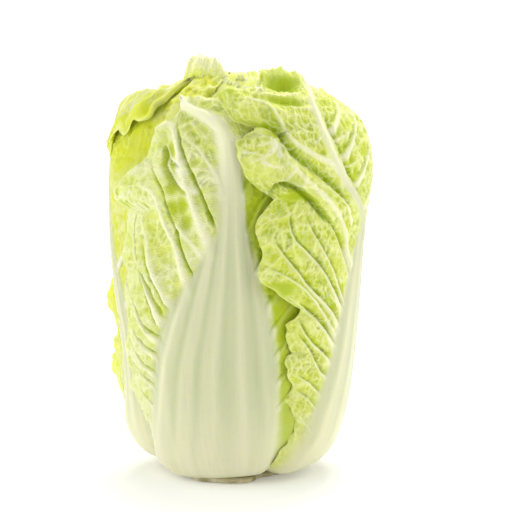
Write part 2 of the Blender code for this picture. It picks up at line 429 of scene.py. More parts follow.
class Sheet:
    """One leaf laid flat. x runs across it and y up it, in metres. lift is how far each point is raised."""

    def __init__(
        self, across, up, left, right, stalk_left, stalk_right, top, size, root, seed, tooth,
        flutes=None, low_tooth=1.0,
    ):
        self.seed, self.size, self.root = seed, size, root
        side = np.linspace(-1, 1, across + 1)[None, :]
        rung = np.linspace(0, 1, up + 1)[:, None]
        ragged = soft_noise(side * 0.10, side * 0, 0.006, seed)
        ragged = ragged + 0.6 * soft_noise(side * 0.10, side * 0, 0.0025, seed + 1)
        tip = curve_at(top, side) + tooth / BARREL_LENGTH * ragged
        self.share = FOOT_SHARE + (tip - FOOT_SHARE) * rung
        self.tip = tip + 0 * rung
        wall = self.share * BARREL_LENGTH
        teeth = soft_noise(wall, wall * 0, 0.009, seed + 2)
        teeth = teeth + 0.7 * soft_noise(wall, wall * 0, 0.0042, seed + 3)
        teeth = np.degrees(tooth / AROUND) * teeth * ease(self.share, 0.08, 0.14)
        teeth = teeth * (1 + (low_tooth - 1) * ease(0.45 - self.share, 0, 0.05))
        self.stalk_left = curve_at(stalk_left, self.share)
        self.stalk_right = curve_at(stalk_right, self.share)
        flute_left, flute_right = flutes or (stalk_left, stalk_right)
        self.flute_left = curve_at(flute_left, self.share)
        self.flute_right = curve_at(flute_right, self.share)
        middle = (self.stalk_left + self.stalk_right) / 2
        self.left = curve_at(left, self.share) - teeth
        self.right = curve_at(right, self.share) + teeth[:, ::-1]
        half = np.where(side < 0, middle - self.left, self.right - middle)
        self.side = side + 0 * rung
        self.degrees = middle + side * half
        self.x, self.y = to_flat(self.degrees, self.share)
        flat = np.radians(1) * AROUND
        self.to_left = (self.degrees - self.left) * flat
        self.to_right = (self.right - self.degrees) * flat
        self.to_top = (self.tip - self.share) * BARREL_LENGTH
        self.to_edge = np.minimum(np.minimum(self.to_left, self.to_right), self.to_top)
        inside = np.minimum(self.degrees - self.stalk_left, self.stalk_right - self.degrees) * flat
        self.in_stalk = inside
        soft = 0.0045 + 0.0080 * ease(0.30 - self.share, 0, 0.20)
        self.stalk = ease(inside, -soft, 0.7 * soft)
        self.lift, self.shift_x, self.shift_y = (np.zeros(self.x.shape) for _ in range(3))
        self.rise4 = np.zeros(self.x.shape)
        # painted_shade is how strongly each point is painted a deeper green where shade falls on it.
        self.vein, self.painted_shade, self.flute, self.net, self.bare = (np.zeros(self.x.shape) for _ in range(5))

    def near(self, points, reach):
        """What lies within reach of a line: which points, how far off, left of the line's run positive, how
        far along it, and the way to it."""
        line = smooth_line(np.stack(to_flat(*np.array(points, float).T), -1), 6)
        low, high = line.min(0) - reach, line.max(0) + reach
        x, y = self.x.ravel(), self.y.ravel()
        which = np.flatnonzero((x > low[0]) & (x < high[0]) & (y > low[1]) & (y < high[1]))
        x, y = x[which], y[which]
        best = np.full(len(which), np.inf)
        off, along, way_x, way_y = (np.zeros(len(which)) for _ in range(4))
        run = np.r_[0, np.cumsum(np.hypot(*np.diff(line, axis=0).T))]
        for (ax, ay), (bx, by), start, end in zip(line, line[1:], run, run[1:]):
            ux, uy = bx - ax, by - ay
            t = np.clip(((x - ax) * ux + (y - ay) * uy) / (ux * ux + uy * uy), 0, 1)
            gx, gy = ax + t * ux - x, ay + t * uy - y
            gap = gx * gx + gy * gy
            closer = gap < best
            turn = np.sign(ux * (y - ay) - uy * (x - ax))
            best = np.where(closer, gap, best)
            off = np.where(closer, turn, off)
            along = np.where(closer, (start + t * (end - start)) / run[-1], along)
            way_x, way_y = np.where(closer, gx, way_x), np.where(closer, gy, way_y)
        gap = np.maximum(np.sqrt(best), 1e-6)
        return which, off * gap, along, way_x / gap, way_y / gap

    def add_vein(self, points, width, ridge, crease=0.0, lip=0.0, lean=0.0, side=1, fade=0.6):
        """A raised vein along a line of places. On one side of it the blade dips in a crease, then swells
        in a lip that leans over the crease. side 1 is left of the line's run."""
        which, off, along, way_x, way_y = self.near(points, 0.022)
        wide = width * (1 - fade * along) * (1 + 0.9 * np.exp(-((along / 0.20) ** 2)))
        crest = VEIN_RISE * ridge * (1 - fade * along) * ease(along, -0.02, 0.05)
        # The crease side drops steeply. On the other side the blade climbs gently to the vein.
        past = off * side if crease else -np.abs(off)
        steep = np.exp(-(np.abs(past / wide) ** 3))
        gentle = 0.5 * np.exp(-((past / wide) ** 2)) + 0.5 * np.exp(-((past / (0.0035 + 2.2 * wide)) ** 2))
        bell = np.where(past > 0, steep, gentle) * ease(1.02 - along, 0, 0.06)
        self.rise4.ravel()[which] += (crest * bell) ** 4
        painted = np.where(past > 0, past / 0.70, past / 1.25) if crease else off / 1.1
        seen = self.vein.ravel()
        colour = np.exp(-((painted / wide) ** 4)) * (1 - 0.35 * along) * ease(1.02 - along, 0, 0.2)
        seen[which] = np.maximum(seen[which], colour)
        if crease:
            env = ease(along, 0.02, 0.14) * ease(1 - along, 0.0, 0.18)
            self.crease(which, off * side - wide * 1.1 - 0.0004, env, way_x, way_y, crease, lip, lean)

    def add_fold(self, points, width, depth, lip, lean=0.0, side=1):
        """A fold in the blade without a vein: a valley, and beside it a lip that leans over the valley."""
        which, off, along, way_x, way_y = self.near(points, 0.024)
        env = ease(along, 0.0, 0.25) * ease(1 - along, 0.0, 0.25)
        self.crease(which, off * side, env, way_x, way_y, depth, lip, lean, width)

    def crease(self, which, past, env, way_x, way_y, crease, lip, lean, width=0.0011):
        """A groove with painted shade in it, and a lip beside it where past is above 0. env is how strong
        both of them are.
        """
        env = env * (1 - self.stalk.ravel()[which])
        width = width * (0.35 + 0.65 * env)
        groove = np.exp(-((past / width) ** 2)) * env
        shaded = np.exp(-((past / (1.15 * width)) ** 2)) * env
        swell = np.where(past > 0, 1 - np.exp(-((past / (1.5 * width)) ** 2)), 0)
        swell = swell * np.exp(-np.maximum(past - 0.004, 0) / 0.008) * env
        self.lift.ravel()[which] += lip * swell - crease * groove
        self.shift_x.ravel()[which] += lean * swell * way_x
        self.shift_y.ravel()[which] += lean * swell * way_y
        # Painted shade along the groove.
        dark = self.painted_shade.ravel()
        dark[which] = np.maximum(dark[which], shaded * min(crease / 0.002, 1))

    def hole(self, spots, depth, reach_degrees=2.6, reach_share=0.016):
        """Small sunken cells between the veins, with painted shade in them."""
        for degrees, share in spots:
            self.swell(degrees, share, reach_degrees, reach_share, -depth)
            self.paint_shade(degrees, share, reach_degrees, reach_share, 0.9)

    def swell(self, degrees, share, reach_degrees, reach_share, lift):
        """A broad bump, or a hollow if lift is below 0."""
        far = ((self.degrees - degrees) / reach_degrees) ** 2 + ((self.share - share) / reach_share) ** 2
        self.lift += lift * np.exp(-far)

    def raise_stalk(self, proud, flutes, flute_depth):
        """The stalk stands proud with rounded shoulders, and soft flutes run up it."""
        proud_here = proud * (1 - 0.45 * ease(self.share, 0.35, 0.75))
        wide = np.radians(self.stalk_right - self.stalk_left) * AROUND
        self.rise4 += (proud_here * ease(self.in_stalk / np.clip(wide * 0.42, 0.002, 0.013), -0.35, 1)) ** 4
        across = (self.degrees - self.flute_left) / np.maximum(self.flute_right - self.flute_left, 1)
        sway = 0.35 * soft_noise(across * 0.3, self.y * 0.25, 0.1, self.seed + 7)
        wave = np.cos(2 * math.pi * (flutes * across + sway + 0.5))
        wave = wave + 0.35 * np.cos(2 * math.pi * (2.3 * flutes * across + 2 * sway))
        fade = ease(self.in_stalk, 0.001, 0.009) * ease(self.share, 0.06, 0.20)
        high = ease(self.share, 0.48, 0.66)
        self.flute = (0.43 + 0.20 * wave * (1 - high) + 0.14 * high) * self.stalk
        self.lift += flute_depth * wave * fade * (1 - high)

    def pucker(self, sink, net_rise, cell, calm=None, quiet=0.0, least=0.3):
        """A net of fine raised veins, in three sizes of mesh, with the blade sunk between them. quiet makes
        the net show less, calm is where the blade puckers, least is how far it puckers at its calmest."""
        blade = (1 - self.stalk) * (1 - 0.8 * self.vein) * (1 - 0.85 * self.bare)
        if calm is not None:
            blade = blade * calm
        bend_x = self.x + 0.002 * soft_noise(self.x, self.y, 0.011, self.seed + 11)
        bend_y = self.y + 0.002 * soft_noise(self.x, self.y, 0.011, self.seed + 12)
        self.net = np.full(self.x.shape, 9.0)
        for i, (mesh_size, depth, weight, hidden) in enumerate(PUCKERS):
            gap, tone = cell_net(bend_x, bend_y, cell * mesh_size, self.seed + 13 + i)
            patches = soft_noise(self.x, self.y, 0.028 / (i + 1), self.seed + 16 + i)
            lively = least + (1 - least) * ease(patches, -0.5, 0.5)
            bowl = 1 - np.exp(-((gap / (cell * mesh_size * 0.32)) ** 2))
            thread = np.exp(-((gap / (0.0011 - 0.0002 * i)) ** 2))
            self.lift -= sink * depth * lively * bowl * (0.65 + 0.35 * tone) * blade
            self.lift += net_rise * weight * lively * thread * blade
            # The sunk cells are painted with shade.
            self.painted_shade = np.maximum(self.painted_shade, depth * 0.5 * lively * bowl * blade * (0.6 + 0.4 * tone))
            self.net = np.minimum(self.net, gap * 1000 + hidden + 0.5 * (1 - lively))
        self.net += 2 * (1 - blade) + quiet

    def paint_shade(self, degrees, share, reach_degrees, reach_share, strength):
        """A patch of painted shade: a stronger green with hardly any net."""
        far = ((self.degrees - degrees) / reach_degrees) ** 2 + ((self.share - share) / reach_share) ** 2
        self.painted_shade = np.maximum(self.painted_shade, strength * np.exp(-(far**2)))
        self.bare = np.maximum(self.bare, np.exp(-(far**2)))

    def ruffle(self, height, wave, reach):
        """The margin is longer than what it hangs from, so it waves up and down."""
        near_edge = np.exp(-self.to_edge / reach) * (1 - self.stalk)
        swing = soft_noise(self.x, self.y, wave, self.seed + 21)
        swing = swing + 0.5 * soft_noise(self.x, self.y, wave * 0.45, self.seed + 22)
        self.lift += height * near_edge * swing * ease(self.share, 0.12, 0.3)
    def draw_in(self, depth, top, fade, reach=None):
        """Draws the foot in towards the head, below a share of its height: all of it, or what lies near its
        left margin."""
        near_left = np.exp(-self.to_left / reach) if reach else 1
        self.lift -= depth * near_left * ease(top - self.share, 0, fade)

    def roll(self, gap, across, up, start, radius, turn):
        """Rolls a margin outwards: what lies within start of it turns up round a radius, by at most turn
        degrees."""
        past = np.maximum(start - gap, 0)
        angle = np.minimum(past / radius, math.radians(turn))
        rest = np.maximum(past - radius * math.radians(turn), 0)
        forward = radius * np.sin(angle) + rest * np.cos(angle) - past
        self.lift += radius * (1 - np.cos(angle)) + rest * np.sin(angle)
        self.shift_x += across * forward
        self.shift_y += up * forward

    def settle(self):
        """Adds veins to the lift, paints shade in hollows and on steep slopes, marks crests for painted
        light.
        """
        self.lift += self.rise4**0.25 - 0.0005
        wide_level = averaged(self.lift, max(self.x.shape[1] // 28, 2))
        level = averaged(self.lift, max(self.x.shape[1] // 90, 1))
        blade = 1 - self.stalk
        # Painted shade where the leaf lies lower than what is round it, at a small and a wide size.
        hollow = 0.6 * np.clip((level - self.lift) / 0.0008, 0, 1)
        hollow = hollow + 0.45 * np.clip((wide_level - level) / 0.0020, 0, 1)
        self.painted_shade = np.clip(np.maximum(self.painted_shade, hollow), 0, 1) * blade
        # Raised crests, which the skin paints paler as a painted highlight.
        self.crest = np.clip((level - wide_level) / 0.0022, 0, 1) * blade
        # Painted shade on the steep flanks of veins and folds.
        slope_up, slope_side = np.gradient(self.lift)
        rung, stride = np.gradient(self.y, axis=0), np.gradient(self.x, axis=1)
        steep = np.hypot(slope_up / np.maximum(rung, 1e-5), slope_side / np.maximum(stride, 1e-5))
        self.painted_shade = np.maximum(self.painted_shade, 0.8 * ease(steep, 0.5, 1.9) * blade)

    def layer(self):
        """The size of barrel that each point lies on: a leaf's right edge lies deeper than its left one."""
        step = LAYER_STEP * (1 + CROWN_STEP * ease(self.share, 0.60, 0.80))
        return self.size - step * (self.degrees - self.root) / LAYER_STEP_DEGREES

    def points(self):
        """The leaf wrapped round the barrel, with nothing below the ground."""
        share = self.share + self.shift_y / BARREL_LENGTH
        degrees = self.degrees + np.degrees(self.shift_x / AROUND)
        places = on_barrel(share, degrees, self.layer(), self.lift)
        places[..., 2] = np.maximum(places[..., 2], FLOOR_CLEARANCE)
        return places


def averaged(grid, reach):
    """A grid of numbers, each one averaged over a square of points round it, three times over."""
    for _ in range(3):
        for axis in (0, 1):
            wide = np.pad(grid, [(reach + 1, reach) if a == axis else (0, 0) for a in (0, 1)], mode="edge")
            total = np.cumsum(wide, axis=axis)
            ahead = np.take(total, range(2 * reach + 1, total.shape[axis]), axis)
            behind = np.take(total, range(0, total.shape[axis] - 2 * reach - 1), axis)
            grid = (ahead - behind) / (2 * reach + 1)
    return grid


def blurred(grid, times):
    """A grid of vectors with each one averaged with its neighbours."""
    for _ in range(times):
        wide = np.pad(grid, ((1, 1), (1, 1), (0, 0)), mode="edge")
        middle = wide[1:-1, 1:-1]
        grid = (wide[:-2, 1:-1] + wide[2:, 1:-1] + wide[1:-1, :-2] + wide[1:-1, 2:] + 2 * middle) / 6
    return grid


def normals_of(grid):
    """Unit normals of a grid of points, outwards from the head."""
    along_up = np.gradient(grid, axis=0)
    along_side = np.gradient(grid, axis=1)
    found = blurred(np.cross(along_side, along_up), 3)
    return found / np.maximum(np.linalg.norm(found, axis=2, keepdims=True), 1e-12)


def leaf_piece(name, sheet, stalk_thickness, material):
    """The leaf as a closed mesh: a fine outer sheet, a coarser inner one, and the rim between them."""
    outer = sheet.points()
    bulk = stalk_thickness * ease(sheet.in_stalk, 0.0, 0.010) * (1 - 0.8 * ease(sheet.share, 0.25, 0.80))
    thickness = BLADE_THICKNESS * (0.55 + 0.45 * ease(sheet.to_edge, 0, 0.004)) + bulk
    inner = (outer - normals_of(outer) * thickness[:, :, None])[::2, ::2]
    rows, columns = sheet.x.shape
    fine = np.arange(rows * columns).reshape(rows, columns)
    coarse = rows * columns + np.arange(inner.shape[0] * inner.shape[1]).reshape(inner.shape[:2])
    front = np.stack([fine[:-1, :-1], fine[:-1, 1:], fine[1:, 1:], fine[1:, :-1]], -1).reshape(-1, 4)
    back = np.stack([coarse[:-1, :-1], coarse[1:, :-1], coarse[1:, 1:], coarse[:-1, 1:]], -1).reshape(-1, 4)

    def around(grid):
        return np.r_[grid[0, :-1], grid[:-1, -1], grid[-1, :0:-1], grid[:0:-1, 0]]

    f, c = around(fine), around(coarse)
    f0, f1, f2 = f[0::2], f[1::2], np.roll(f[0::2], -1)
    c0, c1 = c, np.roll(c, -1)
    steps = ((f1, f0, c0), (f1, c0, c1), (f2, f1, c1))
    rim = np.concatenate([np.stack(step, -1) for step in steps])
    # The bake map: the outer sheet on the left two thirds, the inner one on the right, the rim just outside
    # the outer sheet.
    u = np.linspace(0.016, 0.655, columns)[None, :] + np.zeros((rows, 1))
    v = np.linspace(0.012, 0.988, rows)[:, None] + np.zeros((1, columns))
    outside = np.stack([u, v], -1).reshape(-1, 2)
    inside = np.stack([0.68 + (u - 0.016) * 0.31 / 0.639, v], -1)[::2, ::2].reshape(-1, 2)
    beyond_u = u + 0.006 * np.sign(sheet.side) * (np.abs(sheet.side) > 0.9999)
    edge_row = np.zeros((rows, 1))
    edge_row[0], edge_row[-1] = -1, 1
    beyond = np.stack([beyond_u, v + 0.006 * edge_row], -1)[::2, ::2].reshape(-1, 2)
    spots = np.concatenate([outside, inside])
    rim_spots = np.concatenate([outside, beyond])
    corner_places = np.concatenate([spots[front.ravel()], spots[back.ravel()], rim_spots[rim.ravel()]])

    def both(values):
        return np.concatenate([grid.reshape(-1, values.shape[-1]) for grid in (values, values[::2, ::2])])

    rim_mask = np.exp(-sheet.to_edge / 0.0022)
    masks = {
        "leaf_place": both(np.stack([sheet.x, sheet.y, sheet.share], -1)),
        "leaf_ribs": both(np.stack([sheet.stalk, sheet.vein, sheet.net], -1)),
        # Tone: painted shade, pale margins with a painted highlight on crests, and the stalk's flutes.
        "leaf_tone": both(np.stack([sheet.painted_shade, np.maximum(rim_mask, sheet.crest), sheet.flute], -1)),
    }
    faces = front.tolist() + back.tolist() + rim.tolist()
    points = np.concatenate([outer.reshape(-1, 3), inner.reshape(-1, 3)])
    return new_piece(name, points, faces, corner_places, masks, material)


SKIN_INPUTS = [
    # kind of socket, name, value
    ("Vector", "Place", None),
    ("Vector", "Ribs", None),
    ("Vector", "Tone", None),
    ("Color", "Blade Light", (0.85, 0.88, 0.50, 1)),
    ("Color", "Blade Green", (0.74, 0.80, 0.21, 1)),
    ("Color", "Shade And Fleck Green", (0.49, 0.60, 0.003, 1)),
    ("Color", "Vein Pale", (0.94, 0.94, 0.68, 1)),
    ("Color", "Stalk Cream", (0.79, 0.77, 0.53, 1)),
    ("Color", "Stalk Green", (0.55, 0.585, 0.365, 1)),
    ("Float", "Foot Pallor", 0.75),
]
SKIN_OUTPUTS = [("Color", "Colour"), ("Float", "Roughness"), ("Float", "Relief")]


def leaf_skin_group():
    """Leaf skin: turns the masks of a leaf into its colour, its gloss and its finest relief."""
    tree = bpy.data.node_groups.new("leaf_skin", "ShaderNodeTree")
    for kind, name, value in SKIN_INPUTS:
        socket = tree.interface.new_socket(name, in_out="INPUT", socket_type="NodeSocket" + kind)
        if value is not None:
            socket.default_value = value
    for kind, name in SKIN_OUTPUTS:
        tree.interface.new_socket(name, in_out="OUTPUT", socket_type="NodeSocket" + kind)
    made = Wiring(tree)
    given = tree.nodes.new("NodeGroupInput").outputs
    place = given["Place"]
    stalk, vein, net_gap = made.add("SeparateXYZ", {0: given["Ribs"]})
    # Tone holds painted shade, pale margins with a painted highlight on crests, and the flutes.
    painted_shade, rim, flute = made.add("SeparateXYZ", {0: given["Tone"]})
    height = made.add("SeparateXYZ", {0: place})["Z"]

    # The blade: mottled green, with the net of veins over it.
    cells = made.add("TexVoronoi", {"Scale": 330, "Vector": place}, feature="DISTANCE_TO_EDGE")
    fine_net = made.ranged(cells["Distance"], 0.16, 0.02)
    fine_net = made.times(fine_net, made.one_less(stalk, clamp=True))
    net = made.ranged(net_gap, 0.80, 0.15)
    mottle = made.noise(place, 46, 4)
    fleck = made.noise(place, 260, 3)
    pallor = made.times(made.ranged(height, 0.36, 0.10), given["Foot Pallor"])
    pallor = made.times(pallor, made.one_less(made.times(painted_shade, 0.8)))
    blade = made.mixed(made.ranged(mottle, 0.36, 0.66), given["Blade Green"], given["Blade Light"])
    for share, colour in (
        (made.times(made.ranged(fleck, 0.45, 0.75), 0.16), "Shade And Fleck Green"),
        (made.times(fine_net, 0.12), "Vein Pale"),
        # Painted shade: a deeper green wherever the leaf is shaded.
        (made.times(painted_shade, 0.92), "Shade And Fleck Green"),
        (made.times(net, 0.45), "Vein Pale"),
        (pallor, "Vein Pale"),
        # Paler along the margins, and a painted highlight on raised crests.
        (made.times(rim, 0.65), "Blade Light"),
        (made.times(vein, 0.95), "Vein Pale"),
    ):
        blade = made.mixed(share, blade, given[colour])

    # The stalk: cream on its flutes and greener between them, with fine strands, pale at its foot and top.
    stretched = made.add("VectorMath", {0: place, 1: (1.0, 0.045, 0.0)}, operation="MULTIPLY")[0]
    strands = made.noise(stretched, 900, 3)
    uneven = made.times(made.math_of("SUBTRACT", made.noise(stretched, 130, 3), 0.5), 0.45)
    off_foot = made.one_less(made.times(made.ranged(height, 0.30, 0.06), 0.8))
    green_share = made.math_of("ADD", made.times(made.one_less(flute), off_foot), uneven, clamp=True)
    flesh = made.mixed(green_share, given["Stalk Cream"], given["Stalk Green"])
    flesh = made.mixed(made.times(made.ranged(strands, 0.5, 0.8), 0.20), flesh, given["Stalk Green"])
    flesh = made.mixed(made.times(made.ranged(height, 0.58, 0.72), 0.8), flesh, given["Vein Pale"])

    dull = made.plus(made.times(fleck, 0.18), made.times(stalk, -0.06))
    relief = made.plus(made.times(fine_net, 0.40), made.times(net, 0.5))
    relief = made.plus(relief, made.times(fleck, 0.25))
    relief = made.plus(relief, made.times(made.times(strands, stalk), 0.35))
    made.feed(
        tree.nodes.new("NodeGroupOutput"),
        {"Colour": made.mixed(stalk, blade, flesh), "Roughness": made.plus(dull, 0.40), "Relief": relief},
    )
    return tree


leaf_skin = leaf_skin_group()


def leaf_finish(name, colours, relief=0.0006, depth=0.0008, pallor=0.75):
    """A leaf's material: the shared skin with this leaf's own colours. depth is how far light soaks in."""
    finish = bpy.data.materials.new(name)
    finish.use_nodes = True
    made = Wiring(finish.node_tree)
    inputs = {socket: (*colour, 1) for socket, colour in colours.items()}
    inputs["Foot Pallor"] = pallor
    for mask, socket in (("leaf_place", "Place"), ("leaf_ribs", "Ribs"), ("leaf_tone", "Tone")):
        inputs[socket] = made.add("Attribute", {}, attribute_name=mask)["Vector"]
    skin = made.add("Group", inputs, node_tree=leaf_skin)
    bump = made.add("Bump", {"Distance": relief, "Height": skin["Relief"]})
    made.feed(
        finish.node_tree.nodes["Principled BSDF"],
        {
            "Base Color": skin["Colour"],
            "Roughness": skin["Roughness"],
            "Normal": bump["Normal"],
            "Subsurface Weight": 0.80,
            "Subsurface Radius": (1.0, 0.95, 0.35),
            "Subsurface Scale": depth,
            "Specular IOR Level": 0.14,
        },
    )
    return finish


outer_finish = leaf_finish(
    "outer_leaf",
    {"Stalk Cream": (0.82, 0.80, 0.585), "Stalk Green": (0.53, 0.57, 0.335)},
)
right_finish = leaf_finish(
    "right_outer_leaf",
    {
        "Blade Light": (0.86, 0.91, 0.32),
        "Blade Green": (0.70, 0.78, 0.07),
        "Shade And Fleck Green": (0.44, 0.57, 0.001),
    },
    pallor=0.25,
)
thin_finish = leaf_finish(
    "thin_outer_leaf",
    {
        "Blade Light": (0.83, 0.88, 0.26),
        "Blade Green": (0.74, 0.81, 0.03),
        "Shade And Fleck Green": (0.66, 0.75, 0.006),
    },
    relief=0.0003,
    depth=0.0050,
)


def fix_leaf(piece, node):
    """Stands for one leaf of the CAD model, on the head's one body."""
    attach(piece, "root")
    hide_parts(node)


front = Sheet(
    across=256,
    up=288,
    left=[
        (0.003, -90), (0.06, -86), (0.10, -80), (0.15, -73), (0.20, -67), (0.27, -63), (0.35, -62),
        (0.41, -59), (0.465, -57), (0.50, -57), (0.555, -55), (0.58, -57), (0.595, -66), (0.615, -65),
        (0.635, -57), (0.65, -50), (0.68, -40), (0.72, -35), (0.75, -30), (0.80, -26),
    ],
    right=[(0.003, 33), (0.10, 34), (0.20, 38), (0.40, 48), (0.60, 50), (0.70, 46), (0.80, 40)],
    stalk_left=[
        (0.003, -90), (0.06, -82), (0.09, -73), (0.115, -64), (0.142, -56), (0.186, -49), (0.228, -44.5),
        (0.296, -40), (0.354, -36), (0.403, -30), (0.46, -20), (0.538, -8.5), (0.60, -7.5), (0.69, -7.5),
        (0.715, -9), (0.732, -12.5), (0.745, -17), (0.757, -22), (0.768, -28), (0.80, -34),
    ],
    stalk_right=[
        (0.003, 31), (0.05, 25), (0.10, 21.5), (0.15, 20.5), (0.20, 20), (0.30, 18.5), (0.40, 14),
        (0.45, 10), (0.55, 5), (0.60, 4), (0.67, 2), (0.70, 0), (0.72, -2), (0.735, -4.5), (0.75, -8),
        (0.762, -14), (0.772, -21), (0.80, -28),
    ],
    top=[
        (-1, 0.735), (-0.8, 0.76), (-0.55, 0.778), (-0.2, 0.786), (0.1, 0.79), (0.5, 0.79), (0.8, 0.78),
        (1, 0.74),
    ],
    size=1.0,
    root=-8,
    seed=101,
    tooth=0.0011,
    flutes=(
        [
            (0.003, -72), (0.142, -54), (0.20, -47), (0.30, -40), (0.40, -30), (0.55, -16), (0.70, -9),
            (0.76, -14), (0.80, -22),
        ],
        [(0.003, 33), (0.20, 21), (0.40, 13), (0.55, 6), (0.70, 2), (0.755, -4), (0.80, -16)],
    ),
)
FRONT_VEINS = [
    # places along the vein, width, ridge, crease
    (
        [
            (-8, 0.49), (-12, 0.527), (-17, 0.577), (-21, 0.625), (-24, 0.664), (-26, 0.704), (-28, 0.732),
            (-32, 0.732), (-35, 0.722),
        ],
        0.0025, 0.0042, 0.0,
    ),
    ([(-5, 0.60), (-7, 0.637), (-12, 0.672), (-16, 0.695), (-23, 0.714)], 0.0014, 0.0022, 0.0),
    (
        [(-17, 0.42), (-23, 0.465), (-26, 0.511), (-32, 0.557), (-36, 0.602), (-41, 0.619), (-47, 0.625)],
        0.0023, 0.0036, 0.0,
    ),
    ([(-12, 0.49), (-16, 0.512), (-23, 0.547), (-28, 0.565), (-32, 0.591)], 0.0014, 0.0022, 0.0),
    ([(-27, 0.40), (-33, 0.441), (-38, 0.486), (-42, 0.536), (-45, 0.572)], 0.0019, 0.0028, 0.0),
    ([(-34, 0.38), (-42, 0.442), (-49, 0.490), (-50, 0.541), (-48, 0.579)], 0.0016, 0.0024, 0.0026),
    (
        [(-33, 0.325), (-37, 0.346), (-44, 0.362), (-50, 0.392), (-56, 0.438), (-58, 0.48)],
        0.0016, 0.0022, 0.0028,
    ),
    ([(-35, 0.295), (-39, 0.315), (-46, 0.331), (-53, 0.356), (-58, 0.386)], 0.0015, 0.0020, 0.0026),
    ([(-37, 0.262), (-41, 0.282), (-48, 0.298), (-54, 0.321), (-60, 0.343)], 0.0014, 0.0019, 0.0024),
    ([(-39, 0.24), (-43, 0.258), (-48, 0.271), (-54, 0.287), (-60, 0.305)], 0.0013, 0.0017, 0.0022),
    ([(-42, 0.205), (-46, 0.222), (-52, 0.24), (-59, 0.262)], 0.0012, 0.0015, 0.0020),
    ([(-47, 0.17), (-51, 0.19), (-58, 0.21)], 0.0010, 0.0012, 0.0016),
]
FRONT_SLITS = [
    # places along the slit, width, depth, lip, lean
    (
        [
            (-7, 0.53), (-8, 0.545), (-10, 0.570), (-14, 0.612), (-19, 0.654), (-23, 0.695), (-25, 0.721),
            (-27, 0.745),
        ],
        0.0011, 0.0040, 0.0024, 0.0016,
    ),
    (
        [
            (-15, 0.43), (-18, 0.459), (-22, 0.500), (-25, 0.540), (-30, 0.582), (-32, 0.617), (-37, 0.652),
            (-38, 0.684),
        ],
        0.0010, 0.0038, 0.0022, 0.0014,
    ),
    (
        [(-8, 0.540), (-9.5, 0.556), (-12, 0.583), (-15, 0.618), (-18, 0.642)],
        0.0013, 0.0020, 0.0004, 0.0006,
    ),
    ([(-17, 0.455), (-19, 0.473), (-22, 0.499), (-25, 0.527), (-27, 0.55)], 0.0012, 0.0020, 0.0004, 0.0006),
    (
        [(-27, 0.385), (-30, 0.403), (-34, 0.435), (-38, 0.459), (-42, 0.498), (-44, 0.53)],
        0.0009, 0.0032, 0.0018, 0.0012,
    ),
    ([(-34, 0.355), (-38, 0.385), (-43, 0.43), (-47, 0.475), (-49, 0.51)], 0.0008, 0.0026, 0.0014, 0.0008),
]
FRONT_BRANCHES = [
    # The thick upper vein branches twice to the left, with deep cells beside it.
    # places along the vein, width, ridge, crease, lip, how far it thins out
    ([(-22, 0.665), (-28, 0.672), (-31, 0.70)], 0.0014, 0.0020, 0.0020, 0.0006, 0.6),
    ([(-18, 0.615), (-24, 0.628), (-29, 0.66), (-30, 0.70)], 0.0015, 0.0020, 0.0022, 0.0006, 0.6),
    ([(-8, 0.635), (-11, 0.64), (-14, 0.625)], 0.0008, 0.0012, 0, 0, 0.6),
    ([(-23, 0.650), (-25, 0.690), (-27, 0.722), (-31, 0.732), (-36, 0.720)], 0.0021, 0.0040, 0, 0, 0.2),
    (
        [(-4, 0.70), (-7, 0.73), (-12, 0.747), (-18, 0.760), (-25, 0.769), (-30, 0.772)],
        0.0026, 0.0030, 0, 0, 0.6,
    ),
]
FRONT_CELLS = [(-28, 0.685), (-27, 0.650), (-27, 0.622), (-23, 0.590), (-21, 0.560), (-27, 0.585)]
FRONT_RIGHT_VEINS = [
    # places along the vein, width, ridge
    ([(2, 0.67), (8, 0.71), (18, 0.75)], 0.0018, 0.0022),
    ([(3, 0.60), (10, 0.66), (22, 0.72)], 0.0020, 0.0024),
    ([(5, 0.53), (11, 0.59), (22, 0.65)], 0.0020, 0.0024),
    ([(9, 0.46), (17, 0.52), (30, 0.58)], 0.0018, 0.0022),
    ([(12, 0.39), (20, 0.44), (32, 0.50)], 0.0016, 0.0020),
    ([(15, 0.35), (23, 0.395), (34, 0.44)], 0.0016, 0.0020),
    ([(18, 0.31), (26, 0.35), (35, 0.39)], 0.0014, 0.0018),
    ([(19, 0.26), (27, 0.29), (34, 0.33)], 0.0013, 0.0016),
    ([(20, 0.21), (27, 0.24), (33, 0.27)], 0.0012, 0.0014),
]
front.raise_stalk(proud=0.0029, flutes=5, flute_depth=0.00016)
# Painted shade: the stalk is painted greener and darker towards its right side.
front.flute *= 1 - 0.45 * ease(front.degrees, 0, 16)
# The left corner of its foot lies in against the left leaf.
front.lift -= 0.0058 * ease(-42 - front.degrees, 0, 30) * ease(0.25 - front.share, 0, 0.14)
front.draw_in(depth=0.0034, top=0.26, fade=0.10, reach=0.014)
for line, width, ridge, crease in FRONT_VEINS:
    front.add_vein(line, width, ridge, crease, crease * 0.7, crease * 0.4, side=-1)
for line, width, depth, lip, lean in FRONT_SLITS:
    front.add_fold(line, width, depth, lip, lean, side=-1)
for line, width, ridge in FRONT_RIGHT_VEINS:
    front.add_vein(line, width, ridge, crease=0.0012, lip=0.0004)
for line, width, ridge, crease, lip, fade in FRONT_BRANCHES:
    front.add_vein(line, width, ridge, crease, lip, fade=fade)
front.hole(FRONT_CELLS, depth=0.0022)
# The right leaf presses the right side flat.
covered = 1 - 0.75 * ease(front.degrees, 12, 26)
front.pucker(sink=0.0013, net_rise=0.0004, cell=0.0052, calm=covered, quiet=0.15)
front.ruffle(height=0.0022, wave=0.013, reach=0.006)
front.lift *= covered
